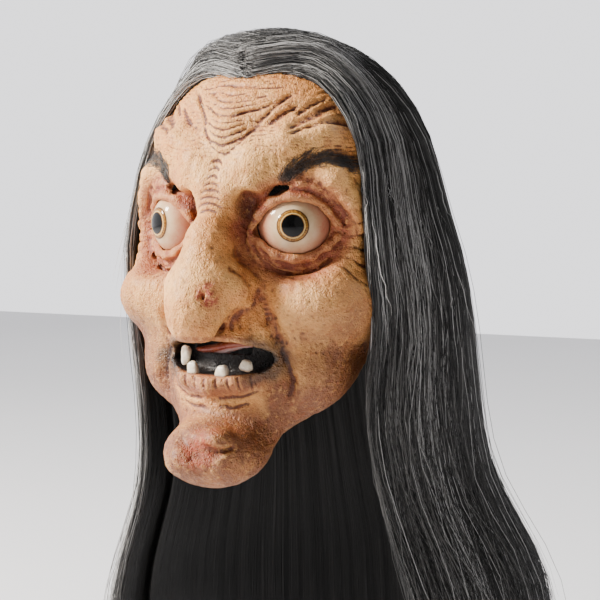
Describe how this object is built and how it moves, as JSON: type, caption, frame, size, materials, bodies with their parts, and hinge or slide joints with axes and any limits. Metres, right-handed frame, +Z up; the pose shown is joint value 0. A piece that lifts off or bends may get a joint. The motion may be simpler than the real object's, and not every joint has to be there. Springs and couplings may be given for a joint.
{
  "type": "latex halloween mask",
  "caption": "Hook-nosed latex witch mask with bulging glossy eyes, open toothed mouth, jutting chin and a long grey wig.",
  "frame": {"origin": "inside the wig cap, where the crown of the wearer's head rests", "axes": "+Z up; the face looks along -Y; +X is the face's own left"},
  "size_m": [0.2674, 0.352, 0.4462],
  "materials": {
    "painted_latex": "cast latex skin, painted flesh with red-brown washes in the creases, satin",
    "tongue_latex": "latex painted dark red-brown, satin",
    "eye_plastic": "painted eyeball under clear gloss",
    "tooth_resin": "off-white, worn and chipped",
    "grey_hair": "straight synthetic hair, black mixed with grey and white",
    "black_net": "black stretch net and sewn weft tape",
    "elastic_web": "ribbed black woven elastic",
    "slider_plastic": "black moulded plastic"
  },
  "bodies": {
    "mask": {"latex_face": "painted_latex", "eye_left": "eye_plastic", "eye_right": "eye_plastic", "tooth_upper": "tooth_resin", "tooth_lower_right": "tooth_resin", "tooth_lower_middle": "tooth_resin", "tooth_lower_left": "tooth_resin", "tongue": "tongue_latex", "wig_cap": "black_net", "weft_tape_upper": "black_net", "weft_tape_middle": "black_net", "weft_tape_lower": "black_net", "nape_elastic": "elastic_web", "hair_crown_left": "grey_hair", "hair_crown_right": "grey_hair", "hair_fall_left": "grey_hair", "hair_fall_back": "grey_hair", "hair_fall_right": "grey_hair", "hair_under_left": "grey_hair", "hair_under_back": "grey_hair", "hair_under_right": "grey_hair", "head_strap": "elastic_web", "strap_tab_left": "elastic_web", "strap_tab_right": "elastic_web"},
    "slider": {"strap_slider": "slider_plastic"}
  },
  "joints": [
    {"name": "strap_slide", "type": "hinge", "parent": "mask", "child": "slider", "pos_m": [0, 0.014, -0.15], "axis": [0, 0, 1], "range_deg": [-35, 35]}
  ]
}
